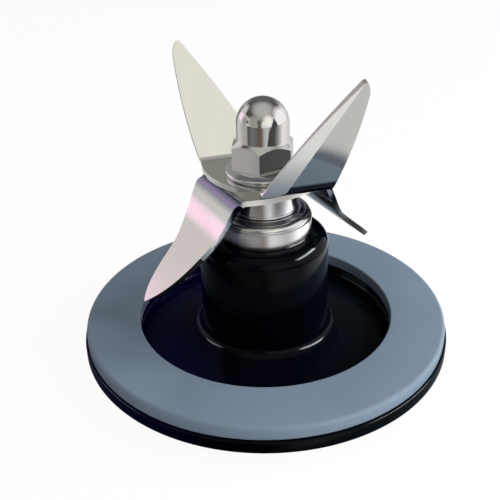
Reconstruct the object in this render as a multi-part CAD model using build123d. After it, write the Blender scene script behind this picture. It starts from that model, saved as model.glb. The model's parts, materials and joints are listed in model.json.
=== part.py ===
import os
from math import copysign, cos, radians, sin, sqrt, tan

from build123d import *

os.makedirs("parts", exist_ok=True)

# Base moulding, millimetres, +Z up, origin at the middle of the foot ring
BASE_D = 87.6
FLANGE_T = 3.1
FLANGE_LOW_ROUND = 0.6
FLANGE_TOP_ROUND = 0.4
TUB_DROP = 2.6
TUB_WALL = 2.5
BASIN_D = 62.0
BASIN_DEPTH = 2.6
BASIN_ROUND = 1.4
FLOOR_T = 2.4
HUB_ROOT_D = 30.6
HUB_TOP_D = 30.0
HUB_H = 27.6
HUB_ROUND = 3.1
HUB_FILLET = 1.8
HUB_WALL = 2.6
EDGE_ROUND = 0.5

# Jar gasket
GASKET_OD = 86.4
GASKET_ID = 60.9
GASKET_T = 3.1
GASKET_TOP_ROUND = 1.0
GASKET_EDGE_ROUND = 0.4

# Bearing cup with its stem, nut and sealing ring
CUP_HEAD_D = 22.0
CUP_HEAD_H = 6.1
CUP_SHOULDER_H = 1.4
CUP_LEDGE = 0.3
CUP_SHOULDER_ROUND = 1.1
CUP_CREST_D = 18.8
CUP_CONE_D = 17.2
CUP_CONE_H = 0.6
STEM_D = 18.0
STEM_END_PAST_NUT = 0.6
CUP_NUT_AF = 21.0
CUP_NUT_T = 3.0
NUT_CHAMFER = 0.6
O_RING_SECTION = 1.4
O_RING_ROOM = 0.2

# Shaft, bushes, seal and washers
SHAFT_D = 10.0
STUD_D = 8.0
FLATS_ACROSS = 6.5
BUSH_WALL = 2.0
BUSH_L = 8.0
SEAL_H = 2.5
SEAL_WALL = 1.55
SEAL_LIP_H = 0.9
SEAL_SUNK = 0.3
THRUST_T = 0.6
THRUST_D = 13.4
CLIP_D = 15.0
CLIP_T = 0.7
CLIP_GROOVE_DEPTH = 0.7
CLIP_GAP = 6.0
STUD_IN_NUT = 9.0
END_CHAMFER = 0.5

# Drive coupling
COUPLING_D = 22.0
COUPLING_H = 9.4
COUPLING_RECESS = 0.9
COUPLING_NOTCH_R = 1.6
SOCKET_D = 11.0
SOCKET_DEPTH = 5.8
LOBE_D = 4.4
LOBE_COUNT = 6

# Collar, washer and dome nut
COLLAR_D = 15.5
COLLAR_H = 5.35
COLLAR_ROUND = 0.4
COLLAR_LIP = 0.2
COLLAR_LIP_H = 0.5
COLLAR_LIP_ROUND = 0.15
COLLAR_SEAT = 1.7
NECK_D = 12.0
WASHER_D = 17.0
WASHER_T = 1.2
WASHER_ROUND = 0.35
NUT_AF = 12.8
NUT_H = 16.0
NUT_HEX_H = 6.9
NUT_DOME_D = 11.7
NUT_TOP_SLOPE = 42.0
NUT_LOW_CHAMFER = 0.9
NUT_TURN = 24.0

# Blades: sheet thickness, then directions, bends and runs measured at half thickness
SHEET_T = 1.25
UPPER_TURN = 106.7
UPPER_BEND_AT = 11.6
UPPER_BEND_R = 2.0
UPPER_RISE = 68.5
UPPER_RUN = 28.2
UPPER_ROOT_LEFT = 11.7
UPPER_ROOT_RIGHT = 3.8
UPPER_BELLY = 3.4
UPPER_TIP_LEFT = 13.5
UPPER_HEEL_LEFT = 14.8
UPPER_HEEL_AT = 24.3
UPPER_EDGE_BOW = 0.7
UPPER_TIP_ROUND = 0.6
BEVEL_WIDTH = 4.6
BEVEL_DEPTH = 0.95

LOWER_TURN = 210.0
LOWER_BEND_AT = 10.95
LOWER_BEND_R = 1.9
LOWER_STEEP = 76.0
LOWER_STEEP_RUN = 6.8
LOWER_KNEE_R = 8.0
LOWER_SLOPE = 41.5
LOWER_RUN = 23.7
LOWER_ROOT_HALF = 8.9
LOWER_BELLY = 1.9
LOWER_TIP_RIGHT = 0.2
LOWER_LEFT_EDGE = [(10.4, 0.17), (8.9, 0.32), (6.3, 0.47), (5.1, 0.61), (3.3, 0.84)]
LOWER_RIGHT_EDGE = [(6.5, 0.19), (6.1, 0.37), (5.5, 0.58), (3.7, 0.80)]

# Clearances
RUN_FIT = 0.04
LIP_FIT = 0.06
SEAT_FIT = 0.03
CUP_GAP = 0.35
END_PLAY = 0.12
FLATS_FIT = 0.05

# Heights that follow from the sizes above
flange_z = TUB_DROP
flange_top_z = flange_z + FLANGE_T
floor_z = flange_top_z - BASIN_DEPTH
hub_top_z = flange_z + HUB_H
cup_top_z = hub_top_z + CUP_HEAD_H
collar_z = cup_top_z + CUP_GAP
blade_z = collar_z + COLLAR_H
upper_blade_z = blade_z + SHEET_T
washer_z = upper_blade_z + SHEET_T
nut_z = washer_z + WASHER_T
socket_roof_z = COUPLING_RECESS + SOCKET_DEPTH
coupling_top_z = COUPLING_RECESS + COUPLING_H
clip_z = coupling_top_z + CLIP_GROOVE_DEPTH / 2
low_thrust_z = clip_z + CLIP_T
stem_z = low_thrust_z + THRUST_T + END_PLAY
shelf_z = stem_z + STEM_END_PAST_NUT + CUP_NUT_T
seal_z = cup_top_z - SEAL_SUNK - SEAL_H
upper_bush_top_z = seal_z - THRUST_T - 2 * END_PLAY
neck_z = upper_bush_top_z + END_PLAY + THRUST_T
shoulder_z = collar_z + COLLAR_SEAT

shaft_r = SHAFT_D / 2
stud_r = STUD_D / 2
stem_r = STEM_D / 2
bush_r = shaft_r + BUSH_WALL
neck_r = NECK_D / 2
seal_r = neck_r + SEAL_WALL
cavity_r = HUB_ROOT_D / 2 - HUB_WALL


def rounded_face(corners):
    # Flat face through (x, y, rounding) corners, every corner rounded by its own radius
    points = [Vector(x, y) for x, y, _ in corners]
    count = len(points)
    trims = []
    for i in range(count):
        here = points[i]
        radius = corners[i][2]
        before = (points[i - 1] - here).normalized()
        after = (points[(i + 1) % count] - here).normalized()
        if radius <= 0:
            trims.append((here, None, here))
            continue
        half = radians(before.get_angle(after)) / 2
        reach = radius / tan(half)
        middle = here + (before + after).normalized() * (radius / sin(half) - radius)
        trims.append((here + before * reach, middle, here + after * reach))
    edges = []
    for i in range(count):
        start, middle, end = trims[i]
        if middle is not None:
            edges.append(ThreePointArc(start, middle, end))
        following = trims[(i + 1) % count][0]
        if (following - end).length > 1e-6:
            edges.append(Line(end, following))
    return make_face(edges)


def turned(corners):
    # Solid of revolution about Z from (radius, height, rounding) corners
    return revolve(Plane.XZ * rounded_face(corners), Axis.Z)


def ring(inner_r, outer_r, low, high, rounding=0.0):
    # Plain ring, all four edges rounded alike
    return turned([
        (inner_r, low, rounding),
        (outer_r, low, rounding),
        (outer_r, high, rounding),
        (inner_r, high, rounding),
    ])


def rod(radius, low, high):
    # Solid round bar between two heights
    return Pos(0, 0, (low + high) / 2) * Cylinder(radius, high - low)


def flatted(radius, across, low, high):
    # Round bar with two flats
    bar = rod(radius, low, high)
    return bar & Pos(0, 0, (low + high) / 2) * Box(across, 2 * radius, high - low)


def hex_bar(across, low, high):
    # Six-sided bar, two corners on the X axis
    return Pos(0, 0, low) * extrude(RegularPolygon(across / sqrt(3), 6), high - low)


def base_moulding():
    # Rim flange, basin and tall hub as one revolved moulding, hollow under the hub
    rim_r = BASE_D / 2
    basin_r = BASIN_D / 2
    hub_root_r = HUB_ROOT_D / 2
    body = turned([
        (stem_r + SEAT_FIT, shelf_z, 0),
        (cavity_r, shelf_z, EDGE_ROUND),
        (cavity_r, floor_z - FLOOR_T, EDGE_ROUND),
        (basin_r, floor_z - FLOOR_T, 0),
        (basin_r, 0, EDGE_ROUND),
        (basin_r + TUB_WALL, 0, EDGE_ROUND),
        (basin_r + TUB_WALL, flange_z, EDGE_ROUND),
        (rim_r, flange_z, FLANGE_LOW_ROUND),
        (rim_r, flange_top_z, FLANGE_TOP_ROUND),
        (basin_r, flange_top_z, EDGE_ROUND),
        (basin_r, floor_z, BASIN_ROUND),
        (hub_root_r, floor_z, HUB_FILLET),
        (HUB_TOP_D / 2, hub_top_z, HUB_ROUND),
        (stem_r + SEAT_FIT, hub_top_z, 0),
    ])
    groove_r = stem_r + SEAT_FIT + O_RING_SECTION + O_RING_ROOM
    return body - rod(groove_r, hub_top_z - O_RING_SECTION, hub_top_z)


def jar_gasket():
    # Flat silicone ring with a well rounded outer top edge
    return turned([
        (GASKET_ID / 2, flange_top_z, GASKET_EDGE_ROUND),
        (GASKET_OD / 2, flange_top_z, GASKET_EDGE_ROUND),
        (GASKET_OD / 2, flange_top_z + GASKET_T, GASKET_TOP_ROUND),
        (GASKET_ID / 2, flange_top_z + GASKET_T, GASKET_EDGE_ROUND),
    ])


def bearing_cup():
    # Turned housing: head with a fine ledge, a round shoulder and a low cone, stem down the hub, stepped bore
    head_r = CUP_HEAD_D / 2
    crest_z = cup_top_z - CUP_CONE_H
    ledge_z = crest_z - CUP_SHOULDER_H
    seat_r = seal_r + SEAT_FIT
    bore_r = bush_r + SEAT_FIT
    return turned([
        (bore_r, stem_z, 0),
        (stem_r, stem_z, EDGE_ROUND),
        (stem_r, hub_top_z, 0),
        (head_r, hub_top_z, EDGE_ROUND / 2),
        (head_r, ledge_z, EDGE_ROUND / 4),
        (head_r - CUP_LEDGE, ledge_z, EDGE_ROUND / 4),
        (head_r - CUP_LEDGE, crest_z, CUP_SHOULDER_ROUND),
        (CUP_CREST_D / 2, crest_z, 0),
        (CUP_CONE_D / 2, cup_top_z, EDGE_ROUND / 2),
        (seat_r, cup_top_z, 0),
        (seat_r, seal_z, 0),
        (bore_r, seal_z, 0),
    ])


def cup_o_ring():
    # Rubber ring in the groove under the head of the cup
    section_r = O_RING_SECTION / 2 - SEAT_FIT
    centre_r = stem_r + SEAT_FIT + (O_RING_SECTION + O_RING_ROOM) / 2
    return Pos(0, 0, hub_top_z - O_RING_SECTION / 2) * Torus(centre_r, section_r)


def cup_nut():
    # Thin nut on the stem, corners chamfered on the lower side
    low = shelf_z - CUP_NUT_T
    corner_r = CUP_NUT_AF / sqrt(3)
    trim = turned([
        (0, low, 0),
        (corner_r - NUT_CHAMFER, low, 0),
        (corner_r + NUT_CHAMFER, low + NUT_CHAMFER, 0),
        (corner_r + NUT_CHAMFER, shelf_z, 0),
        (0, shelf_z, 0),
    ])
    return (hex_bar(CUP_NUT_AF, low, shelf_z) & trim) - rod(stem_r + SEAT_FIT, low, shelf_z)


def bush(low):
    # Plain bronze bearing pressed into the bore of the cup
    return ring(shaft_r + RUN_FIT, bush_r, low, low + BUSH_L, EDGE_ROUND / 2)


def shaft_seal():
    # Rubber lip seal; the inner lip runs on the neck of the collar
    lip_r = neck_r + LIP_FIT
    web_r = neck_r + SEAL_WALL / 2
    high = seal_z + SEAL_H
    return turned([
        (lip_r, seal_z, 0),
        (seal_r, seal_z, 0),
        (seal_r, high, EDGE_ROUND / 2),
        (web_r, high, EDGE_ROUND / 2),
        (web_r, seal_z + SEAL_LIP_H, EDGE_ROUND / 2),
        (lip_r, seal_z + SEAL_LIP_H / 2, 0),
    ])


def drive_shaft():
    # Stud end for the nut, flats for the blades, clip groove and flatted drive end
    top = nut_z + STUD_IN_NUT
    shaft = turned([
        (0, coupling_top_z, 0),
        (shaft_r, coupling_top_z, 0),
        (shaft_r, clip_z, 0),
        (shaft_r - CLIP_GROOVE_DEPTH, clip_z, 0),
        (shaft_r - CLIP_GROOVE_DEPTH, low_thrust_z, 0),
        (shaft_r, low_thrust_z, 0),
        (shaft_r, shoulder_z, 0),
        (stud_r, shoulder_z, 0),
        (stud_r, top - END_CHAMFER, 0),
        (stud_r - END_CHAMFER, top, 0),
        (0, top, 0),
    ])
    drive_end = flatted(stud_r, FLATS_ACROSS, socket_roof_z, coupling_top_z)
    blade_band = rod(shaft_r, blade_z, washer_z) - flatted(stud_r, FLATS_ACROSS, blade_z, washer_z)
    return shaft + drive_end - blade_band


def thrust_washer(low):
    # Thin washer round the shaft
    return ring(shaft_r + SEAT_FIT, THRUST_D / 2, low, low + THRUST_T)


def shaft_clip():
    # Spring clip in the shaft groove, open on one side
    groove_r = shaft_r - CLIP_GROOVE_DEPTH
    body = ring(groove_r + SEAT_FIT, CLIP_D / 2, clip_z, low_thrust_z)
    mouth = Pos(CLIP_D / 2, 0, (clip_z + low_thrust_z) / 2) * Box(CLIP_D, CLIP_GAP, CLIP_T)
    return body - mouth


def drive_coupling():
    # Drum with a lobed socket from below and notches round the outside
    body = turned([
        (0, COUPLING_RECESS, 0),
        (COUPLING_D / 2, COUPLING_RECESS, EDGE_ROUND),
        (COUPLING_D / 2, coupling_top_z, EDGE_ROUND),
        (0, coupling_top_z, 0),
    ])
    socket = rod(SOCKET_D / 2, COUPLING_RECESS, socket_roof_z)
    lobe = Pos(SOCKET_D / 2, 0, 0) * rod(LOBE_D / 2, COUPLING_RECESS, socket_roof_z)
    notch = Pos(COUPLING_D / 2, 0, 0) * rod(COUPLING_NOTCH_R, COUPLING_RECESS, coupling_top_z)
    for i in range(LOBE_COUNT):
        step = 360 / LOBE_COUNT
        body -= Rot(0, 0, i * step) * lobe
        body -= Rot(0, 0, (i + 0.5) * step) * notch
    return body - socket - flats_hole(COUPLING_RECESS, coupling_top_z)


def blade_collar():
    # Bright spacer under the blades with a fine lip round its foot; the neck runs down through the seal
    collar_r = COLLAR_D / 2
    lip_r = collar_r + COLLAR_LIP
    lip_top_z = collar_z + COLLAR_LIP_H
    return turned([
        (shaft_r + SEAT_FIT, neck_z, 0),
        (neck_r, neck_z, 0),
        (neck_r, collar_z, 0),
        (lip_r, collar_z, COLLAR_LIP_ROUND),
        (lip_r, lip_top_z, COLLAR_LIP_ROUND),
        (collar_r, lip_top_z, 0),
        (collar_r, blade_z, COLLAR_ROUND),
        (stud_r + SEAT_FIT, blade_z, 0),
        (stud_r + SEAT_FIT, shoulder_z, 0),
        (shaft_r + SEAT_FIT, shoulder_z, 0),
    ])


def blade_washer():
    # Plain washer between the upper blade and the nut
    return ring(stud_r + SEAT_FIT, WASHER_D / 2, washer_z, nut_z, WASHER_ROUND)


def dome_nut():
    # Six-sided nut whose chamfered corners run into a tall round dome
    dome_r = NUT_DOME_D / 2
    corner_r = NUT_AF / sqrt(3)
    hex_top = nut_z + NUT_HEX_H
    slope_drop = (corner_r - dome_r) * tan(radians(NUT_TOP_SLOPE))
    trim = turned([
        (0, nut_z, 0),
        (corner_r - NUT_LOW_CHAMFER, nut_z, 0),
        (corner_r, nut_z + NUT_LOW_CHAMFER, 0),
        (corner_r, hex_top - slope_drop, 0),
        (dome_r, hex_top, 0),
        (0, hex_top, 0),
    ])
    hexagon = hex_bar(NUT_AF, nut_z, hex_top) & trim
    dome = rod(dome_r, nut_z, nut_z + NUT_H - dome_r)
    dome += Pos(0, 0, nut_z + NUT_H - dome_r) * Sphere(dome_r)
    stud_hole = rod(stud_r + SEAT_FIT, nut_z, nut_z + STUD_IN_NUT + END_CHAMFER)
    return Rot(0, 0, NUT_TURN) * (hexagon + dome - stud_hole)


def bent_strip_face(stations):
    # Side view of bent sheet through (out, height, bend radius) stations at half thickness
    points = [Vector(x, y) for x, y, _ in stations]
    last = len(points) - 1
    left = []
    right = []
    for i in range(last + 1):
        before = (points[max(i, 1)] - points[max(i, 1) - 1]).normalized()
        after = (points[min(i, last - 1) + 1] - points[min(i, last - 1)]).normalized()
        normals = Vector(-before.Y, before.X) + Vector(-after.Y, after.X)
        mitre = normals * (SHEET_T / 2 / (1 + before.dot(after)))
        swing = before.X * after.Y - before.Y * after.X
        inner_shift = copysign(SHEET_T / 2, swing) if 0 < i < last else 0
        radius = stations[i][2]
        left_corner = points[i] + mitre
        right_corner = points[i] - mitre
        left.append((left_corner.X, left_corner.Y, radius - inner_shift))
        right.append((right_corner.X, right_corner.Y, radius + inner_shift))
    return rounded_face(left + right[::-1])


def half_turn(shape):
    # Same shape on the other side of the shaft
    return Rot(0, 0, 180) * shape


def side_arc(start, end, belly):
    # Bowed edge between two corners, bulging to the left of the way from start to end
    way = end - start
    middle = (start + end) * 0.5 + Vector(-way.Y, way.X).normalized() * belly
    return ThreePointArc(start, middle, end)


def bent_blade(stations, tangent_at, flat_outline, arm_plane, arm_outline):
    # Bent sheet cut to a flat outline in the middle and to an outline seen square to each arm
    reach = BASE_D
    strip = extrude(Plane.XZ * bent_strip_face(stations), reach / 2, both=True)
    flat_cut = extrude(flat_outline, reach)
    arm_cut = extrude(arm_plane * arm_outline, COLLAR_D, both=True)
    outside = Pos(tangent_at + reach / 2, 0, reach / 2) * Box(reach, reach, reach)
    arm = strip & (arm_cut & outside)
    return (strip & flat_cut) + arm + half_turn(arm)


def flats_hole(low, high):
    # Hole for the flatted ends of the shaft
    return flatted(stud_r + FLATS_FIT, FLATS_ACROSS + 2 * FLATS_FIT, low, high)


def upper_blade():
    # Two arms bent steeply up, each raked to one side with a bevel ground along its long edge
    mid_z = upper_blade_z + SHEET_T / 2
    rise = radians(UPPER_RISE)
    tip_out = UPPER_BEND_AT + UPPER_RUN * cos(rise)
    tip_z = mid_z + UPPER_RUN * sin(rise)
    tangent_at = UPPER_BEND_AT - UPPER_BEND_R * tan(rise / 2)
    stations = [
        (-tip_out, tip_z, 0),
        (-UPPER_BEND_AT, mid_z, UPPER_BEND_R),
        (UPPER_BEND_AT, mid_z, UPPER_BEND_R),
        (tip_out, tip_z, 0),
    ]
    near = Vector(tangent_at, -UPPER_ROOT_RIGHT)
    far = Vector(-tangent_at, -UPPER_ROOT_LEFT)
    flat_outline = make_face([
        side_arc(far, near, -UPPER_BELLY),
        Line(near, Vector(tangent_at, UPPER_ROOT_LEFT)),
        side_arc(far * -1, near * -1, -UPPER_BELLY),
        Line(near * -1, far),
    ])
    arm_plane = Plane(
        origin=(UPPER_BEND_AT, 0, mid_z), x_dir=(0, -1, 0), z_dir=(-sin(rise), 0, cos(rise))
    )
    arm_outline = upper_arm_outline()
    blade = bent_blade(stations, tangent_at, flat_outline, arm_plane, arm_outline)
    bevel = upper_bevel(arm_plane)
    blade = blade - bevel - half_turn(bevel)
    return Rot(0, 0, UPPER_TURN) * blade - flats_hole(upper_blade_z, washer_z)


def upper_arm_outline():
    # Raked arm: short heel edge on the left, long ground edge on the right, rounded tip
    root = -UPPER_BEND_R * 2
    left_root = Vector(-UPPER_ROOT_LEFT, 0)
    right_root = Vector(UPPER_ROOT_RIGHT, 0)
    heel = Vector(-UPPER_HEEL_LEFT, UPPER_HEEL_AT)
    tip = Vector(-UPPER_TIP_LEFT, UPPER_RUN)
    outline = make_face([
        Line(Vector(-UPPER_ROOT_LEFT, root), left_root),
        side_arc(left_root, heel, UPPER_EDGE_BOW),
        side_arc(heel, tip, UPPER_EDGE_BOW / 2),
        side_arc(tip, right_root, UPPER_EDGE_BOW),
        Line(right_root, Vector(UPPER_ROOT_RIGHT, root)),
        Line(Vector(UPPER_ROOT_RIGHT, root), Vector(-UPPER_ROOT_LEFT, root)),
    ])
    return fillet(outline.vertices().sort_by(Axis.Y)[-1], UPPER_TIP_ROUND)


def upper_bevel(arm_plane):
    # Wedge ground off the outer face along the long edge, widest at the root, nothing at the tip
    face_z = -SHEET_T / 2
    foot = Vector(UPPER_ROOT_RIGHT - BEVEL_WIDTH, 0, face_z)
    tip = Vector(-UPPER_TIP_LEFT, UPPER_RUN, face_z)
    edge = Vector(UPPER_ROOT_RIGHT, 0, face_z + BEVEL_DEPTH)
    along = (tip - foot).normalized()
    normal = along.cross(foot - edge).normalized()
    normal = normal if normal.Z < 0 else normal * -1
    cut_plane = Plane(origin=foot, x_dir=along, z_dir=normal)
    side = 1 if cut_plane.to_local_coords(edge).Y > 0 else -1
    length = (tip - foot).length
    grind = Box(length + BEVEL_WIDTH, 2 * BEVEL_WIDTH, 2 * BEVEL_DEPTH)
    grind = Pos(length / 2, side * BEVEL_WIDTH, BEVEL_DEPTH) * grind
    return arm_plane.location * (cut_plane.location * grind)


def lower_blade():
    # Two arms bent down steeply and then easing outward to a pointed tip
    mid_z = blade_z + SHEET_T / 2
    steep = radians(LOWER_STEEP)
    slope = radians(LOWER_SLOPE)
    knee_out = LOWER_BEND_AT + LOWER_STEEP_RUN * cos(steep)
    knee_z = mid_z - LOWER_STEEP_RUN * sin(steep)
    tip_out = knee_out + LOWER_RUN * cos(slope)
    tip_z = knee_z - LOWER_RUN * sin(slope)
    tangent_at = LOWER_BEND_AT - LOWER_BEND_R * tan(steep / 2)
    stations = [
        (-tip_out, tip_z, 0),
        (-knee_out, knee_z, LOWER_KNEE_R),
        (-LOWER_BEND_AT, mid_z, LOWER_BEND_R),
        (LOWER_BEND_AT, mid_z, LOWER_BEND_R),
        (knee_out, knee_z, LOWER_KNEE_R),
        (tip_out, tip_z, 0),
    ]
    corner = Vector(tangent_at, LOWER_ROOT_HALF)
    across = Vector(-tangent_at, LOWER_ROOT_HALF)
    flat_outline = make_face([
        side_arc(across, corner, LOWER_BELLY),
        Line(corner, across * -1),
        side_arc(across * -1, corner * -1, LOWER_BELLY),
        Line(corner * -1, across),
    ])
    chord = Vector(tip_out - LOWER_BEND_AT, 0, tip_z - mid_z)
    arm_plane = Plane(
        origin=(LOWER_BEND_AT, 0, mid_z), x_dir=(0, 1, 0), z_dir=Vector(0, 1, 0).cross(chord)
    )
    arm_outline = lower_arm_outline(chord.length)
    blade = bent_blade(stations, tangent_at, flat_outline, arm_plane, arm_outline)
    return Rot(0, 0, LOWER_TURN) * blade - flats_hole(blade_z, upper_blade_z)


def lower_arm_outline(run):
    # Tapering arm; each edge is a curve through (distance from the middle, part of the run)
    root = -LOWER_BEND_R * 2
    left = Vector(-LOWER_ROOT_HALF, 0)
    right = Vector(LOWER_ROOT_HALF, 0)
    tip = Vector(LOWER_TIP_RIGHT, run)
    left_points = [Vector(-x, part * run) for x, part in LOWER_LEFT_EDGE]
    right_points = [Vector(x, part * run) for x, part in LOWER_RIGHT_EDGE]
    return make_face([
        Line(Vector(-LOWER_ROOT_HALF, root), left),
        Spline(left, *left_points, tip),
        Spline(tip, *right_points[::-1], right),
        Line(right, Vector(LOWER_ROOT_HALF, root)),
        Line(Vector(LOWER_ROOT_HALF, root), Vector(-LOWER_ROOT_HALF, root)),
    ])


parts = {
    "base_moulding": base_moulding(),
    "jar_gasket": jar_gasket(),
    "bearing_cup": bearing_cup(),
    "cup_o_ring": cup_o_ring(),
    "cup_nut": cup_nut(),
    "lower_bush": bush(stem_z),
    "upper_bush": bush(upper_bush_top_z - BUSH_L),
    "shaft_seal": shaft_seal(),
    "drive_shaft": drive_shaft(),
    "thrust_washer_top": thrust_washer(upper_bush_top_z + END_PLAY),
    "thrust_washer_low": thrust_washer(low_thrust_z),
    "shaft_clip": shaft_clip(),
    "drive_coupling": drive_coupling(),
    "blade_collar": blade_collar(),
    "lower_blade": lower_blade(),
    "upper_blade": upper_blade(),
    "blade_washer": blade_washer(),
    "dome_nut": dome_nut(),
}

for name, shape in parts.items():
    export_step(shape, f"parts/{name}.step")
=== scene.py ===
import json
import math
import bpy
import bmesh
from mathutils import Matrix, Vector

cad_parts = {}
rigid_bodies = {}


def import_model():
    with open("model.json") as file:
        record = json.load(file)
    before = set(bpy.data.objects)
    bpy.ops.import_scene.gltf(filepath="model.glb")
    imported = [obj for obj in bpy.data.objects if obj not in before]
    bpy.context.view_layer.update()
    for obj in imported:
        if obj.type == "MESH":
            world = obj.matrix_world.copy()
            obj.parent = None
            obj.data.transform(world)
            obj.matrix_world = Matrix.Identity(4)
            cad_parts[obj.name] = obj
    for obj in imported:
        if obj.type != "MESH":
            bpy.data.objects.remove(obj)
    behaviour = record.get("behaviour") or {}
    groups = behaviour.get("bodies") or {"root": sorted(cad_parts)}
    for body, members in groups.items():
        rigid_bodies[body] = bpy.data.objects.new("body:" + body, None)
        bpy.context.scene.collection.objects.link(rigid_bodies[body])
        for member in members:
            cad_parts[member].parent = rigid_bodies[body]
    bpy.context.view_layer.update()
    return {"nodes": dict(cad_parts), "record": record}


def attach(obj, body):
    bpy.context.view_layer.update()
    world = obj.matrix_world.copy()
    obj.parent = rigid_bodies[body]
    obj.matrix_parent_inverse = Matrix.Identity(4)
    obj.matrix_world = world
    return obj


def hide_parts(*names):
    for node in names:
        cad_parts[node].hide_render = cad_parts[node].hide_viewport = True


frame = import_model()
nodes = frame["nodes"]
scene = bpy.context.scene
mm = 0.001
print("frame loaded with", len(nodes), "nodes")


class Wire:  # one output socket; sums on it add Math nodes
    def __init__(self, finish, socket):
        self.finish = finish
        self.socket = socket

    def math(self, operation, first, second):
        return self.finish.add("ShaderNodeMath", {"operation": operation}, {0: first, 1: second})

    def __add__(self, other):
        return self.math("ADD", self, other)

    def __radd__(self, other):
        return self.math("ADD", other, self)

    def __sub__(self, other):
        return self.math("SUBTRACT", self, other)

    def __rsub__(self, other):
        return self.math("SUBTRACT", other, self)

    def __mul__(self, other):
        return self.math("MULTIPLY", self, other)

    def __rmul__(self, other):
        return self.math("MULTIPLY", other, self)


cloudRange = (0.3, 0.75)  # noise values over which a finish goes from smooth to dull


class Finish:  # one material and its nodes
    def __init__(self, name, tree=None):
        if tree is None:
            self.material = bpy.data.materials.new(name)
            self.material.use_nodes = True
            tree = self.material.node_tree
        self.tree = tree
        self.tree.nodes.clear()

    def add(self, kind, settings=None, values=None, out=0):  # settings first, then values or links
        node = self.tree.nodes.new(kind)
        for key, value in (settings or {}).items():
            if key == "stops":
                self.setStops(node.color_ramp, value)
            else:
                setattr(node, key, value)
        for key, value in (values or {}).items():
            if isinstance(value, Wire):
                self.tree.links.new(value.socket, node.inputs[key])
            else:
                node.inputs[key].default_value = value
        return Wire(self, node.outputs[out]) if node.outputs else node

    def setStops(self, ramp, stops):
        while len(ramp.elements) < len(stops):
            ramp.elements.new(1.0)
        for element, (place, colour) in zip(ramp.elements, stops):
            element.position = place
            element.color = (*colour, 1.0)

    def place(self):
        return self.add("ShaderNodeTexCoord", out="Object")

    def part(self, vector, letter):
        return self.add("ShaderNodeSeparateXYZ", None, {0: vector}, out=letter)

    def noise(self, scale, detail=3.0, vector=None):
        values = {"Vector": vector or self.place(), "Scale": scale, "Detail": detail}
        return self.add("ShaderNodeTexNoise", None, values)

    def stretch(self, vector, size):
        return self.add("ShaderNodeVectorMath", {"operation": "MULTIPLY"}, {0: vector, 1: size})

    def measure(self, operation, *vectors):  # a vector sum that ends in one number
        return self.add("ShaderNodeVectorMath", {"operation": operation}, dict(enumerate(vectors)), out="Value")

    def turned(self, vector, degrees):
        values = {"Vector": vector, "Angle": math.radians(degrees)}
        return self.add("ShaderNodeVectorRotate", {"rotation_type": "Z_AXIS"}, values)

    def between(self, amount, first, second):
        return self.add("ShaderNodeMix", {"data_type": "RGBA"}, {"Factor": amount, 6: first, 7: second}, out=2)

    def ramp(self, stops, amount):
        return self.add("ShaderNodeValToRGB", {"stops": stops}, {0: amount})

    def spread(self, value, low, high, toLow=0.0, toHigh=1.0):
        return self.add("ShaderNodeMapRange", None, {0: value, 1: low, 2: high, 3: toLow, 4: toHigh})

    def dulled(self, cloud, rough):
        return self.spread(cloud, *cloudRange, *rough)

    def bump(self, height, strength, distance):
        return self.add("ShaderNodeBump", None, {"Height": height, "Strength": strength, "Distance": distance})

    def surface(self, values):
        shader = self.add("ShaderNodeBsdfPrincipled", None, values)
        self.add("ShaderNodeOutputMaterial", None, {"Surface": shader})
        return self.material


def rgb(red, green, blue):
    return (red, green, blue, 1.0)


def grey(value):
    return (value, value, value)


glossBlackLook = {  # painted reflection: the base is tinted navy on its left and teal on its right, fading across it from left to right
    "left": rgb(0.0004, 0.0006, 0.0160),
    "leftFade": (-27 * mm, -9 * mm),
    "middle": rgb(0.0003, 0.0004, 0.0012),
    "rightFade": (8 * mm, 26 * mm),
    "right": rgb(0.0003, 0.0014, 0.0020),
    "worn": rgb(0.0004, 0.0006, 0.0016),
    "wornShare": 0.4,
    "rough": (0.09, 0.15),
    "gloss": 0.075,
    "cloud": 120.0,
    "grain": 2600.0,
    "bump": (0.04, 0.04 * mm),
}


def glossBlack(look):
    f = Finish("glossBlack")
    cloud = f.noise(look["cloud"])
    grain = f.noise(look["grain"], detail=2.0)
    across = f.part(f.place(), "X")
    # painted reflection: navy on the left side of the base, teal on the right
    paintedSideTint = f.between(f.spread(across, *look["leftFade"]), look["left"], look["middle"])
    paintedSideTint = f.between(f.spread(across, *look["rightFade"]), paintedSideTint, look["right"])
    return f.surface({
        "Base Color": f.between(cloud * look["wornShare"], paintedSideTint, look["worn"]),
        "Roughness": f.dulled(cloud, look["rough"]),
        "Specular IOR Level": look["gloss"],
        "Normal": f.bump(grain, *look["bump"]),
    })


siliconeLook = {
    "colour": rgb(0.150, 0.200, 0.262),
    "dusty": rgb(0.178, 0.230, 0.290),
    "rough": (0.40, 0.52),
    "gloss": 0.35,
    "cloud": 90.0,
    "grain": 5200.0,
    "bump": (0.10, 0.06 * mm),
}


def slateSilicone(look):
    f = Finish("slateSilicone")
    cloud = f.noise(look["cloud"])
    grain = f.noise(look["grain"], detail=2.0)
    return f.surface({
        "Base Color": f.between(cloud, look["colour"], look["dusty"]),
        "Roughness": f.dulled(cloud, look["rough"]),
        "Specular IOR Level": look["gloss"],
        "Normal": f.bump(grain, *look["bump"]),
    })


toolMarks = {"rings": (40.0, 40.0, 9000.0), "cloud": 160.0, "bump": (0.12, 0.04 * mm)}
cupLook = {"colour": rgb(0.70, 0.69, 0.69), "line": rgb(0.58, 0.57, 0.57), "rough": (0.18, 0.26)}
collarLook = {"colour": rgb(0.78, 0.78, 0.80), "line": rgb(0.68, 0.68, 0.70), "rough": (0.14, 0.22)}


def turnedSteel(name, look):  # fine tool marks run round the axis
    f = Finish(name)
    marks = f.noise(1.0, detail=4.0, vector=f.stretch(f.place(), toolMarks["rings"]))
    cloud = f.noise(toolMarks["cloud"])
    return f.surface({
        "Base Color": f.between(marks, look["line"], look["colour"]),
        "Metallic": 1.0,
        "Roughness": f.dulled(cloud, look["rough"]),
        "Normal": f.bump(marks, *toolMarks["bump"]),
    })


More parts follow.
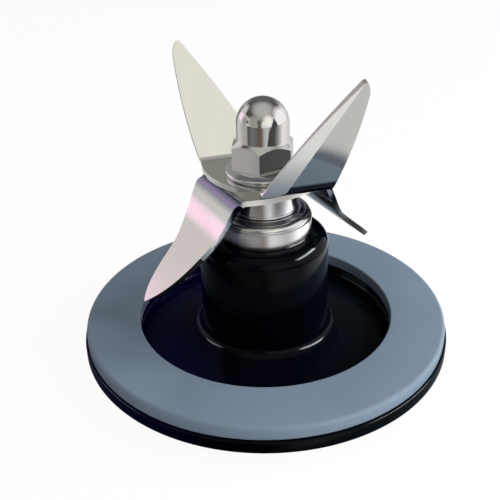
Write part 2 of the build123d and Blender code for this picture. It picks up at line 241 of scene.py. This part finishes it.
lowerTurn, upperTurn = 210.0, 106.7  # bearings of the two blades in degrees
sheetMarks = {"scratch": (90.0, 2200.0, 90.0), "cloud": 110.0, "bump": (0.03, 0.03 * mm)}
lowerLook = {"colour": rgb(0.72, 0.71, 0.685), "line": rgb(0.63, 0.62, 0.60), "rough": (0.16, 0.24)}
upperLook = {"colour": rgb(0.600, 0.592, 0.572), "line": rgb(0.555, 0.547, 0.530), "rough": (0.07, 0.11)}
groundLook = {"colour": rgb(0.78, 0.775, 0.755), "line": rgb(0.73, 0.725, 0.705), "rough": (0.22, 0.30)}
# painted shade: the lower blade's cut edges are coloured near black, the right arm's darker still
nearEdgeShadeLook = {"colour": rgb(0.060, 0.056, 0.055), "line": rgb(0.038, 0.036, 0.035), "rough": (0.30, 0.42)}
farEdgeShadeLook = {"colour": rgb(0.008, 0.010, 0.011), "line": rgb(0.004, 0.006, 0.007), "rough": (0.30, 0.42)}
cutEdgeLook = {"colour": rgb(0.64, 0.635, 0.62), "line": rgb(0.56, 0.555, 0.54), "rough": (0.50, 0.60)}
lowerBendShade = {  # painted shade: a darker band where both lower arms are bent
    "from": 10.3 * mm, "to": 12.0 * mm, "soft": 0.3 * mm,
    "side": 0,
    "colour": rgb(0.17, 0.175, 0.25),
}
upperBendShade = {  # painted shade: a dark line at the bend of the right upper arm, on the outer face, which looks down
    "from": 10.5 * mm, "to": 13.15 * mm, "soft": 0.12 * mm,
    "side": -1, "facing": (-0.2, 0.0),
    "colour": rgb(0.040, 0.041, 0.050),
}


def bendShadeMask(f, inline, bend):
    along = f.part(inline, "X")
    if bend["side"]:
        along = along * bend["side"]
    else:
        along = f.add("ShaderNodeMath", {"operation": "ABSOLUTE"}, {0: along})
    start, end, soft = bend["from"], bend["to"], bend["soft"]
    mask = f.spread(along, start - soft, start + soft) - f.spread(along, end - soft, end + soft)
    if bend["side"]:
        facing = f.part(f.add("ShaderNodeNewGeometry", out="True Normal"), "Z")
        mask = mask * f.spread(facing, *bend["facing"], 1.0, 0.0)
    return mask


def polishedSheet(name, turn, look, bend=None):  # faint polishing scratches along the arms, and a painted shade at a bend when one is given
    f = Finish(name)
    inline = f.turned(f.place(), -turn)
    scratch = f.noise(1.0, detail=4.0, vector=f.stretch(inline, sheetMarks["scratch"]))
    cloud = f.noise(sheetMarks["cloud"])
    colour = f.between(scratch, look["line"], look["colour"])
    if bend:
        # painted shade: darkens the sheet's colour along the band at the bend
        colour = f.between(bendShadeMask(f, inline, bend), colour, bend["colour"])
    return f.surface({
        "Base Color": colour,
        "Metallic": 1.0,
        "Roughness": f.dulled(cloud, look["rough"]),
        "Normal": f.bump(scratch, *sheetMarks["bump"]),
    })


nutLook = {"colour": rgb(0.70, 0.68, 0.66), "line": rgb(0.64, 0.62, 0.60), "rough": (0.05, 0.10), "cloud": 220.0}


def mirrorSteel(look):
    f = Finish("mirrorSteel")
    cloud = f.noise(look["cloud"])
    return f.surface({
        "Base Color": f.between(cloud, look["line"], look["colour"]),
        "Metallic": 1.0,
        "Roughness": f.dulled(cloud, look["rough"]),
    })


metalMarks = {"cloud": 300.0, "grain": 3000.0, "bump": (0.1, 0.05 * mm)}
couplingLook = {"colour": rgb(0.10, 0.10, 0.105), "pale": rgb(0.16, 0.16, 0.165), "rough": (0.40, 0.55)}
bushLook = {"colour": rgb(0.42, 0.27, 0.13), "pale": rgb(0.52, 0.35, 0.18), "rough": (0.35, 0.5)}
shaftLook = {"colour": rgb(0.42, 0.42, 0.43), "pale": rgb(0.52, 0.52, 0.53), "rough": (0.22, 0.34)}


def plainMetal(name, look):
    f = Finish(name)
    cloud = f.noise(metalMarks["cloud"])
    grain = f.noise(metalMarks["grain"], detail=2.0)
    return f.surface({
        "Base Color": f.between(cloud, look["colour"], look["pale"]),
        "Metallic": 1.0,
        "Roughness": f.dulled(cloud, look["rough"]),
        "Normal": f.bump(grain, *metalMarks["bump"]),
    })


rubberLook = {
    "colour": rgb(0.012, 0.012, 0.013),
    "dusty": rgb(0.026, 0.026, 0.028),
    "rough": (0.45, 0.65),
    "cloud": 240.0,
}


def blackRubber(look):
    f = Finish("blackRubber")
    cloud = f.noise(look["cloud"])
    return f.surface({
        "Base Color": f.between(cloud, look["colour"], look["dusty"]),
        "Roughness": f.dulled(cloud, look["rough"]),
    })


finishes = {
    "base_moulding": glossBlack(glossBlackLook),
    "jar_gasket": slateSilicone(siliconeLook),
    "bearing_cup": turnedSteel("turnedCup", cupLook),
    "blade_collar": turnedSteel("turnedCollar", collarLook),
    "dome_nut": mirrorSteel(nutLook),
    "drive_coupling": plainMetal("sinteredSteel", couplingLook),
    "cup_o_ring": blackRubber(rubberLook),
    "lower_bush": plainMetal("bushBronze", bushLook),
    "drive_shaft": plainMetal("plainSteel", shaftLook),
    "lower_blade": polishedSheet("polishedLower", lowerTurn, lowerLook, lowerBendShade),
    "upper_blade": polishedSheet("polishedUpper", upperTurn, upperLook, upperBendShade),
}
finishes["blade_washer"] = finishes["blade_collar"]
finishes["shaft_seal"] = finishes["cup_o_ring"]
finishes["upper_bush"] = finishes["lower_bush"]
for name in ("cup_nut", "thrust_washer_top", "thrust_washer_low", "shaft_clip"):
    finishes[name] = finishes["drive_shaft"]
for name, node in nodes.items():
    node.data.materials.clear()
    node.data.materials.append(finishes[name])
print("finishes on", len(nodes), "nodes")


bodyOf = {}
for body, names in frame["record"]["behaviour"]["bodies"].items():
    for name in names:
        bodyOf[name] = body


def dress(name, mesh, node):  # a piece that stands for one node
    mesh.materials.append(finishes[node])
    piece = bpy.data.objects.new(name, mesh)
    scene.collection.objects.link(piece)
    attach(piece, bodyOf[node])
    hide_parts(node)
    return piece


smoothBelow = math.radians(40.0)  # edges that turn by less than this are shaded smooth


def shadeInto(mesh, bm):
    for face in bm.faces:
        face.smooth = True
    for edge in bm.edges:
        edge.smooth = len(edge.link_faces) == 2 and edge.calc_face_angle() < smoothBelow
    bm.to_mesh(mesh)
    bm.free()


def roundCorners(corners, steps):  # (radius, height, rounding) corners in mm to profile points
    points = []
    for i, (radius, height, rounding) in enumerate(corners):
        here = Vector((radius, height))
        before = (Vector(corners[i - 1][:2]) - here).normalized()
        after = (Vector(corners[(i + 1) % len(corners)][:2]) - here).normalized()
        if rounding <= 0:
            points.append((radius, height))
            continue
        half = before.angle(after) / 2
        centre = here + (before + after).normalized() * (rounding / math.sin(half))
        start = here + before * (rounding / math.tan(half)) - centre
        end = here + after * (rounding / math.tan(half)) - centre
        first = math.atan2(start.y, start.x)
        sweep = math.remainder(math.atan2(end.y, end.x) - first, 2 * math.pi)
        for k in range(steps + 1):
            angle = first + sweep * k / steps
            points.append((centre.x + rounding * math.cos(angle), centre.y + rounding * math.sin(angle)))
    return points


def lathe(name, node, smooth, corners):  # smooth gives the parts of a turn and of a rounding
    around, steps = smooth
    bm = bmesh.new()
    rings = []
    for radius, height in roundCorners(corners, steps):
        ring = []
        for k in range(around):
            angle = 2 * math.pi * k / around
            ring.append(bm.verts.new((radius * math.cos(angle) * mm, radius * math.sin(angle) * mm, height * mm)))
        rings.append(ring)
    for i, ring in enumerate(rings):
        following = rings[(i + 1) % len(rings)]
        for k in range(around):
            n = (k + 1) % around
            bm.faces.new((ring[k], ring[n], following[n], following[k]))
    bmesh.ops.recalc_face_normals(bm, faces=bm.faces[:])
    mesh = bpy.data.meshes.new(name)
    shadeInto(mesh, bm)
    dress(name, mesh, node)


baseSizes = {  # all turned pieces are in mm
    "rim": 43.79, "rimRounds": (0.6, 0.4), "flange": (2.6, 5.7),
    "basin": 31.0, "lipRound": 0.5, "cornerRound": 0.4,
    "tubWall": 2.5, "tubRound": 0.5, "footRound": 0.35,
    "floor": 3.1, "floorInner": 5.4, "floorUnder": 0.7, "underRound": 0.3,
    "hubRoot": 15.3, "hubFillet": 2.4, "hubTop": 15.0, "hubRound": 3.1, "top": 30.2,
    "bore": 9.03, "boreRound": 0.15, "groove": (10.63, 28.8),
    "cavity": 12.7, "cavityRound": 0.5, "shelf": 15.67,
    "smooth": (360, 9),
}


def makeBase(s):
    low, high = s["flange"]
    grooveR, grooveZ = s["groove"]
    tub = s["basin"] + s["tubWall"]
    lathe("baseShell", "base_moulding", s["smooth"], [
        (s["bore"], s["shelf"], s["boreRound"]),
        (s["cavity"], s["shelf"], s["cavityRound"]),
        (s["cavity"], s["floorUnder"], s["cavityRound"]),
        (s["basin"], s["floorUnder"], s["underRound"]),
        (s["basin"], 0, s["footRound"]),
        (tub, 0, s["tubRound"]),
        (tub, low, s["tubRound"]),
        (s["rim"], low, s["rimRounds"][0]),
        (s["rim"], high, s["rimRounds"][1]),
        (s["basin"], high, s["lipRound"]),
        (s["basin"], s["floor"], s["cornerRound"]),
        (s["hubRoot"], s["floorInner"], s["hubFillet"]),  # the floor rises to the foot of the hub
        (s["hubTop"], s["top"], s["hubRound"]),
        (grooveR, s["top"], s["boreRound"]),
        (grooveR, grooveZ, 0),
        (s["bore"], grooveZ, 0),
    ])


gasketSizes = {
    "outer": 43.2, "inner": 30.45, "low": 5.7, "high": 8.8,
    "topRound": 1.0, "edgeRound": 0.4, "smooth": (360, 9),
}


def makeGasket(s):
    lathe("gasketRing", "jar_gasket", s["smooth"], [
        (s["inner"], s["low"], s["edgeRound"]),
        (s["outer"], s["low"], s["edgeRound"]),
        (s["outer"], s["high"], s["topRound"]),
        (s["inner"], s["high"], s["edgeRound"]),
    ])


cupSizes = {
    "stem": 9.0, "stemRound": 0.5, "bore": 7.03, "low": 12.07,
    "hubTop": 30.2, "head": 11.0, "headRound": 0.25,
    "ledge": (10.7, 34.3), "ledgeRound": 0.12, "shoulderRound": 1.1,
    "crest": (9.4, 35.7), "crestRound": 0.06, "cone": 8.6, "coneRound": 0.3, "top": 36.3,
    "seat": 7.58, "seatRound": 0.1, "sealZ": 33.5, "smooth": (288, 8),
}


def makeCup(s):
    ledgeR, ledgeZ = s["ledge"]
    crestR, crestZ = s["crest"]
    lathe("bearingHead", "bearing_cup", s["smooth"], [
        (s["bore"], s["low"], 0),
        (s["stem"], s["low"], s["stemRound"]),
        (s["stem"], s["hubTop"], 0),
        (s["head"], s["hubTop"], s["headRound"]),
        (s["head"], ledgeZ, s["ledgeRound"]),
        (ledgeR, ledgeZ, s["ledgeRound"]),
        (ledgeR, crestZ, s["shoulderRound"]),
        (crestR, crestZ, s["crestRound"]),
        (s["cone"], s["top"], s["coneRound"]),
        (s["seat"], s["top"], s["seatRound"]),
        (s["seat"], s["sealZ"], 0),
        (s["bore"], s["sealZ"], 0),
    ])


collarSizes = {
    "bore": 5.03, "neck": 6.0, "neckZ": 33.38, "neckRound": 0.1, "foot": 36.42,
    "lip": (7.95, 36.95), "lipRound": 0.15, "wall": 7.75, "wallRound": 0.03,
    "top": 42.0, "topRound": 0.4, "stud": 4.03, "seatZ": 38.35, "smooth": (288, 6),
}


def makeCollar(s):
    lipR, lipZ = s["lip"]
    lathe("bladeSpacer", "blade_collar", s["smooth"], [
        (s["bore"], s["neckZ"], 0),
        (s["neck"], s["neckZ"], s["neckRound"]),
        (s["neck"], s["foot"], s["neckRound"]),
        (lipR, s["foot"], s["lipRound"]),
        (lipR, lipZ, s["lipRound"]),
        (s["wall"], lipZ, s["wallRound"]),
        (s["wall"], s["top"], s["topRound"]),
        (s["stud"], s["top"], 0),
        (s["stud"], s["seatZ"], 0),
        (s["bore"], s["seatZ"], 0),
    ])


washerSizes = {
    "bore": 4.03, "boreRound": 0.1, "outer": 8.5, "outerRound": 0.35,
    "low": 44.5, "high": 45.7, "smooth": (240, 6),
}


def makeWasher(s):
    lathe("nutWasher", "blade_washer", s["smooth"], [
        (s["bore"], s["low"], s["boreRound"]),
        (s["outer"], s["low"], s["outerRound"]),
        (s["outer"], s["high"], s["outerRound"]),
        (s["bore"], s["high"], s["boreRound"]),
    ])


makeBase(baseSizes)
makeGasket(gasketSizes)
makeCup(cupSizes)
makeCollar(collarSizes)
makeWasher(washerSizes)
print("round pieces turned")


# faces that lean across an arm, beyond this reach on the left and right arm, get the edge finishes; on the lower
# blade these cut edges carry painted shade, near black
easing = {
    "lower_blade": {
        "name": "lowerBlade", "width": 0.13 * mm, "turn": lowerTurn,
        "lean": 0.8, "reach": (19 * mm, 11.6 * mm),
        "slope": 41.5, "knee": (12.595 * mm, 36.027 * mm),
        "edges": (
            polishedSheet("nearCutEdgeShade", lowerTurn, nearEdgeShadeLook),
            polishedSheet("farCutEdgeShade", lowerTurn, farEdgeShadeLook),
        ),
    },
    "upper_blade": {  # faces across the risen sheet get the third finish
        "name": "upperBlade", "width": 0.13 * mm, "turn": upperTurn,
        "lean": 0.08, "reach": (13 * mm, 13 * mm),
        "rise": 68.5, "risenAbove": 46 * mm, "sheetFacing": 0.5,
        "edges": (
            polishedSheet("groundLeft", upperTurn, groundLook),
            polishedSheet("groundRight", upperTurn, groundLook),
            polishedSheet("upperCutEdge", upperTurn, cutEdgeLook),
        ),
    },
    "dome_nut": {"name": "domeNut", "width": 0.16 * mm},
}
edgeRules = {"weld": 1e-6, "flat": 0.05, "sharp": 25.0, "segments": 3, "flatWeight": 90}  # angles in degrees
kneeSizes = {"packed": 8.0 * mm, "eased": 15.0 * mm, "angle": 34.5, "step": 0.3 * mm}  # radii of the bend
tipSizes = {"reach": 3.4 * mm, "armFrom": 15 * mm, "endBand": 0.5 * mm, "thinned": 0.92}


def armAxes(inline, slope, side):  # down a lower arm to its tip, and out of its top face
    out = inline * side
    down = Vector((out.x * math.cos(slope), out.y * math.cos(slope), -math.sin(slope)))
    up = Vector((out.x * math.sin(slope), out.y * math.sin(slope), math.cos(slope)))
    return down, up


def cutAcross(bm, place, along):
    bmesh.ops.bisect_plane(bm, geom=bm.verts[:] + bm.edges[:] + bm.faces[:], plane_co=place, plane_no=along)


def kneeHeight(radius, angle, u):  # height of a bend of this radius over the line of the outer part
    tangent = radius * math.tan(angle / 2)
    if u > tangent:
        return 0.0
    if u < tangent - radius * math.sin(angle):
        return -math.tan(angle) * u
    return radius - math.sqrt(radius ** 2 - (u - tangent) ** 2)


def easeKnees(bm, inline, slope, knee):  # a wider bend where each lower arm turns outward
    angle = math.radians(kneeSizes["angle"])
    packed, wider = kneeSizes["packed"], kneeSizes["eased"]
    start, end = wider * (math.tan(angle / 2) - math.sin(angle)), wider * math.tan(angle / 2)
    stations = int((end - start) / kneeSizes["step"]) + 1
    for side in (1, -1):
        down, up = armAxes(inline, slope, side)
        corner = inline * (side * knee[0]) + Vector((0, 0, knee[1]))
        for k in range(stations + 1):
            cutAcross(bm, corner + down * (start + (end - start) * k / stations), down)
        for vert in bm.verts:
            u = (vert.co - corner).dot(down)
            if side * vert.co.dot(inline) > 0 and start < u < end:
                vert.co += up * (kneeHeight(wider, angle, u) - kneeHeight(packed, angle, u))


def chiselTips(bm, inline, slope):  # thins the underside of each lower arm away to its tip
    reach, armFrom = tipSizes["reach"], tipSizes["armFrom"]
    for side in (1, -1):
        down, up = armAxes(inline, slope, side)
        arm = [vert for vert in bm.verts if side * vert.co.dot(inline) > armFrom]
        end = max(vert.co.dot(down) for vert in arm)
        top = max(vert.co.dot(up) for vert in arm if vert.co.dot(down) > end - tipSizes["endBand"])
        cutAcross(bm, down * (end - reach), down)
        for vert in bm.verts:
            left = end - vert.co.dot(down)
            if side * vert.co.dot(inline) > armFrom and left < reach:
                vert.co += up * ((top - vert.co.dot(up)) * (1 - left / reach) * tipSizes["thinned"])


def pickEdges(bm, look, inline, across):  # the edge finishes of a blade
    for face in bm.faces:
        middle = face.calc_center_median()
        right = middle.x > 0
        if abs(middle.dot(inline)) > look["reach"][right] and abs(face.normal.dot(across)) > look["lean"]:
            face.material_index = 1 + right
        if "rise" in look and middle.z > look["risenAbove"]:
            rise = math.radians(look["rise"])
            sheet = inline * math.copysign(math.sin(rise), -middle.dot(inline)) + Vector((0, 0, math.cos(rise)))
            if abs(face.normal.dot(sheet)) < look["sheetFacing"]:
                face.material_index = 3


def eased(node, look):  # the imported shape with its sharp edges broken
    bm = bmesh.new()
    bm.from_mesh(nodes[node].data)
    bmesh.ops.remove_doubles(bm, verts=bm.verts[:], dist=edgeRules["weld"])
    flat, sharp = math.radians(edgeRules["flat"]), math.radians(edgeRules["sharp"])
    bmesh.ops.dissolve_limit(bm, angle_limit=flat, verts=bm.verts[:], edges=bm.edges[:], delimit=set())
    turn = math.radians(look.get("turn", 0))
    inline = Vector((math.cos(turn), math.sin(turn), 0))
    across = Vector((-math.sin(turn), math.cos(turn), 0))
    if "slope" in look:
        slope = math.radians(look["slope"])
        easeKnees(bm, inline, slope, look["knee"])
        chiselTips(bm, inline, slope)
    keen = [edge for edge in bm.edges if len(edge.link_faces) == 2 and edge.calc_face_angle() > sharp]
    bmesh.ops.bevel(bm, geom=keen, offset=look["width"], offset_type="OFFSET", segments=edgeRules["segments"],
                    profile=0.5, affect="EDGES", clamp_overlap=True)
    if "edges" in look:
        pickEdges(bm, look, inline, across)
    mesh = bpy.data.meshes.new(look["name"])
    shadeInto(mesh, bm)
    piece = dress(look["name"], mesh, node)
    for finish in look.get("edges", ()):
        mesh.materials.append(finish)
    weigh = piece.modifiers.new("flatFaces", "WEIGHTED_NORMAL")
    weigh.keep_sharp = True
    weigh.weight = edgeRules["flatWeight"]


for node, look in easing.items():
    eased(node, look)
for piece in (bpy.data.objects["domeNut"], nodes["drive_shaft"]):
    piece.visible_glossy = False  # the satin sheet does not mirror the nut or the stud in it
print("blades and nut eased")


cameraView = {  # focal length and the place of the axis are in pixels of the image
    "elevation": 35.3, "distance": 184.8 * mm, "roll": -0.6, "aimZ": 2.6 * mm,
    "image": 500, "focal": 734.0, "axisAt": (265.0, 326.6),
    "sensor": 36.0, "clip": (0.005, 20.0),
}


def makeCamera(look):
    elevation = math.radians(look["elevation"])
    roll = math.radians(look["roll"])
    back = Vector((0, -math.cos(elevation), math.sin(elevation)))
    right = Vector((1, 0, 0))
    up = back.cross(right)
    half = look["image"] / 2
    offX, offY = look["axisAt"][0] - half, look["axisAt"][1] - half
    across = math.cos(roll) * offX + math.sin(roll) * offY
    down = math.cos(roll) * offY - math.sin(roll) * offX
    forward = (-back - right * (across / look["focal"]) + up * (down / look["focal"])).normalized()
    right = forward.cross(up).normalized()
    up = right.cross(forward)
    tiltRight = right * math.cos(roll) + up * math.sin(roll)
    tiltUp = up * math.cos(roll) - right * math.sin(roll)
    place = back * look["distance"] + Vector((0, 0, look["aimZ"]))
    turn = Matrix((tiltRight, tiltUp, -forward)).transposed().to_4x4()
    data = bpy.data.cameras.new("photoCamera")
    data.sensor_width = look["sensor"]
    data.lens = look["focal"] / look["image"] * data.sensor_width
    data.clip_start, data.clip_end = look["clip"]
    camera = bpy.data.objects.new("photoCamera", data)
    camera.matrix_world = Matrix.Translation(place) @ turn
    scene.collection.objects.link(camera)
    scene.camera = camera


makeCamera(cameraView)
print("camera placed")


def bearing(azimuth, height, off):
    across, rise = math.radians(azimuth), math.radians(height)
    return Vector((math.sin(across) * math.cos(rise), -math.cos(across) * math.cos(rise), math.sin(rise))) * off


def rays(f):  # camera or transmission rays, then glossy rays
    camera = f.add("ShaderNodeLightPath", out="Is Camera Ray")
    glossy = Wire(f, camera.socket.node.outputs["Is Glossy Ray"])
    through = Wire(f, camera.socket.node.outputs["Is Transmission Ray"])
    return camera + through, glossy


white = rgb(1, 1, 1)
worldLevel = 0.34
studioSky = [  # from straight down at 0 to straight up at 1
    (0.50, grey(0.95)), (0.70, grey(0.95)), (0.745, grey(0.12)),
    (0.85, grey(0.10)), (0.95, grey(0.42)), (1.0, grey(0.55)),
]
# what the metal sees: degrees to the right of the camera, degrees up, full and faded half width
skyPanels = {
    "dimBack": {"azimuth": 180, "height": 28, "full": 18, "fade": 42, "colour": rgb(0.14, 0.145, 0.155)},
    "frontHigh": {"azimuth": 8, "height": 66, "full": 14, "fade": 46, "colour": rgb(0.60, 0.61, 0.57)},
    "frontLeft": {"azimuth": -40, "height": 18, "full": 16, "fade": 32, "colour": rgb(0.44, 0.44, 0.40)},
    "leftDim": {"azimuth": -84, "height": 10, "full": 10, "fade": 20, "colour": rgb(0.48, 0.45, 0.43)},
    "cameraLow": {"azimuth": -13, "height": 4, "full": 6, "fade": 12, "colour": rgb(0.15, 0.14, 0.12)},
    "cameraHigh": {"azimuth": -14, "height": 20, "full": 7, "fade": 13, "colour": rgb(0.16, 0.15, 0.13)},
    "creamWall": {"azimuth": 29, "height": 25, "full": 10, "fade": 28, "colour": rgb(1.26, 1.25, 1.15)},
    "rightWall": {"azimuth": 92, "height": 12, "full": 24, "fade": 44, "colour": rgb(1.28, 1.27, 1.32)},
    "leftWall": {"azimuth": -120, "height": 24, "full": 10, "fade": 22, "colour": rgb(0.83, 0.80, 0.78)},
    "darkGap": {"azimuth": -69, "height": 12, "full": 2, "fade": 6, "colour": rgb(0.07, 0.07, 0.06)},
    "pinkSoft": {"azimuth": -126, "height": 28, "full": 4, "fade": 8, "colour": rgb(0.88, 0.82, 0.82)},
    "pinkGlow": {"azimuth": -115, "height": 11, "full": 8, "fade": 11.5, "colour": rgb(1.55, 1.10, 1.38)},
}


def makeWorld():  # even light, with panels round the room that only the metal sees
    world = bpy.data.worlds.new("studioWorld")
    world.use_nodes = True
    f = Finish("studioWorld", world.node_tree)
    seen, glossy = rays(f)
    way = f.add("ShaderNodeTexCoord", out="Generated")
    sky = f.ramp(studioSky, f.part(way, "Z") * 0.5 + 0.5)
    for look in skyPanels.values():
        facing = f.measure("DOT_PRODUCT", way, bearing(look["azimuth"], look["height"], 1.0))
        inside = f.spread(facing, math.cos(math.radians(look["fade"])), math.cos(math.radians(look["full"])))
        sky = f.between(inside, sky, look["colour"])
    lit = f.between(glossy, rgb(*grey(worldLevel)), sky)
    shown = f.between(seen, lit, white)
    shade = f.add("ShaderNodeBackground", None, {"Color": shown, "Strength": 1.0})
    f.add("ShaderNodeOutputWorld", None, {"Surface": shade})
    scene.world = world


floorLook = {  # show is the share of plain white that the camera sees, over the lit floor
    "size": 6.0, "white": 0.86, "speck": 1.02, "speckScale": 30.0,
    "show": 0.95, "glossShow": 1.0, "nearToFar": (95 * mm, 110 * mm),
}
floorNearLightShade = [  # painted light and shade on the floor near the object, by bearing, seen only in reflections, a full turn from behind the object
    (0.00, grey(0.54)), (0.15, grey(0.60)), (0.20, grey(0.50)), (0.272, grey(0.45)), (0.30, grey(0.45)),
    (0.361, grey(0.32)), (0.386, grey(0.36)), (0.44, grey(0.42)), (0.475, grey(0.42)),
    (0.488, (0.336, 0.268, 0.226)), (0.505, (0.336, 0.268, 0.226)), (0.52, grey(0.60)), (0.545, grey(1.15)),
    (0.60, grey(0.95)), (0.635, grey(0.85)), (0.665, grey(0.86)), (0.70, grey(1.40)),
    (0.74, grey(1.90)), (0.79, grey(1.90)), (1.0, grey(0.54)),
]
# painted light and shade on the floor farther out, by bearing, seen only in reflections
floorFarLightShade = [
    (0.00, grey(0.50)), (0.15, grey(0.78)), (0.197, grey(0.78)), (0.236, grey(0.575)), (0.272, grey(0.54)),
    (0.303, grey(0.50)), (0.328, grey(0.11)), (0.361, grey(0.20)), (0.386, grey(0.234)), (0.414, grey(0.187)),
    (0.464, (0.165, 0.134, 0.112)), (0.489, (0.207, 0.157, 0.127)), (0.514, grey(0.52)), (0.539, grey(0.70)),
    (0.564, grey(0.67)), (0.589, grey(0.29)), (0.614, grey(0.124)), (0.642, grey(0.157)), (0.669, grey(0.28)),
    (0.70, grey(0.50)), (0.75, grey(1.10)), (0.79, grey(1.10)), (1.0, grey(0.50)),
]
floorShades = {  # shade on the floor beside the base, as metal sees it
    "left": {
        "middle": (-30 * mm, 0, 0), "inside": 46 * mm, "clear": 60 * mm,
        "colour": rgb(0.045, 0.045, 0.055),
    },
    "front": {
        "middle": (-12 * mm, -40 * mm, 0), "inside": 14 * mm, "clear": 21 * mm,
        "colour": rgb(0.030, 0.040, 0.050),
    },
    "right": {
        "middle": (8 * mm, -3 * mm, 0), "inside": 42.5 * mm, "clear": 45.5 * mm,
        "colour": rgb(0.150, 0.185, 0.225),
    },
}


def reflectedFloor(f):
    across = f.part(f.place(), "X")
    along = Wire(f, across.socket.node.outputs["Y"])
    turn = f.add("ShaderNodeMath", {"operation": "ARCTAN2"}, {0: across, 1: along * -1.0}) * (0.5 / math.pi) + 0.5
    far = f.spread(f.measure("LENGTH", f.place()), *floorLook["nearToFar"])
    tone = f.between(far, f.ramp(floorNearLightShade, turn), f.ramp(floorFarLightShade, turn))
    for shade in floorShades.values():
        away = f.measure("DISTANCE", f.place(), shade["middle"])
        tone = f.between(f.spread(away, shade["inside"], shade["clear"]), shade["colour"], tone)
    return tone


def makeFloor(look):
    mesh = bpy.data.meshes.new("floor")
    half = look["size"] / 2
    mesh.from_pydata([(-half, -half, 0), (half, -half, 0), (half, half, 0), (-half, half, 0)], [], [(0, 1, 2, 3)])
    floor = bpy.data.objects.new("floor", mesh)
    scene.collection.objects.link(floor)
    f = Finish("paleFloor")
    pale, paler = grey(look["white"]), grey(look["white"] * look["speck"])
    speck = f.between(f.noise(look["speckScale"]), rgb(*pale), rgb(*paler))
    matte = f.add("ShaderNodeBsdfDiffuse", None, {"Color": speck})
    seen, glossy = rays(f)
    tone = f.between(glossy, white, reflectedFloor(f))
    lit = f.add("ShaderNodeEmission", None, {"Color": tone, "Strength": 1.0})
    amount = seen * look["show"] + glossy * look["glossShow"]
    shade = f.add("ShaderNodeMixShader", None, {0: amount, 1: matte, 2: lit})
    f.add("ShaderNodeOutputMaterial", None, {"Surface": shade})
    mesh.materials.append(f.material)


lampAim = Vector((0, 0, 30 * mm))
lamps = {  # degrees to the right of the camera, degrees up, metres off; glints light the base alone
    "keyRight": {
        "azimuth": 92, "height": 27, "off": 0.60, "size": (0.40, 0.06), "power": 2.8,
        "colour": (1.0, 0.99, 1.0), "mirrored": False,
    },
    "fillLeft": {
        "azimuth": -117, "height": 15, "off": 0.60, "size": (0.10, 0.04), "power": 0.16,
        "colour": (1.0, 0.70, 0.86), "mirrored": False,
    },
    "topSoft": {
        "azimuth": 118, "height": 56, "off": 0.60, "size": (0.08, 0.08), "power": 0.6,
        "colour": (1.0, 1.0, 1.0), "mirrored": False,
    },
    "frontSoft": {
        "azimuth": 45, "height": 28, "off": 0.30, "size": (0.16, 0.16), "power": 0.52,
        "colour": (0.95, 0.98, 1.0), "mirrored": False,
    },
    "glintRight": {
        "azimuth": 90, "height": 37, "off": 0.60, "size": (0.46, 0.10), "power": 9.0,
        "colour": (0.96, 0.99, 1.0), "mirrored": True, "only": "baseShell",
    },
    "glintLeft": {
        "azimuth": -102, "height": 37, "off": 0.60, "size": (0.30, 0.10), "power": 1.5,
        "colour": (0.90, 0.96, 1.0), "mirrored": True, "only": "baseShell",
    },
}


def makeLamp(name, look):
    data = bpy.data.lights.new(name, "AREA")
    data.shape = "RECTANGLE"
    data.size, data.size_y = look["size"]
    data.energy = look["power"]
    data.color = look["colour"]
    lamp = bpy.data.objects.new(name, data)
    lamp.location = lampAim + bearing(look["azimuth"], look["height"], look["off"])
    lamp.rotation_euler = (lampAim - lamp.location).to_track_quat("-Z", "Y").to_euler()
    lamp.visible_camera = False
    lamp.visible_glossy = look["mirrored"]
    if "only" in look:
        lit = bpy.data.collections.new(name)
        lit.objects.link(bpy.data.objects[look["only"]])
        lamp.light_linking.receiver_collection = lit
    scene.collection.objects.link(lamp)


makeWorld()
makeFloor(floorLook)
for name, look in lamps.items():
    makeLamp(name, look)
scene.view_settings.view_transform = "Standard"
print("studio lit")
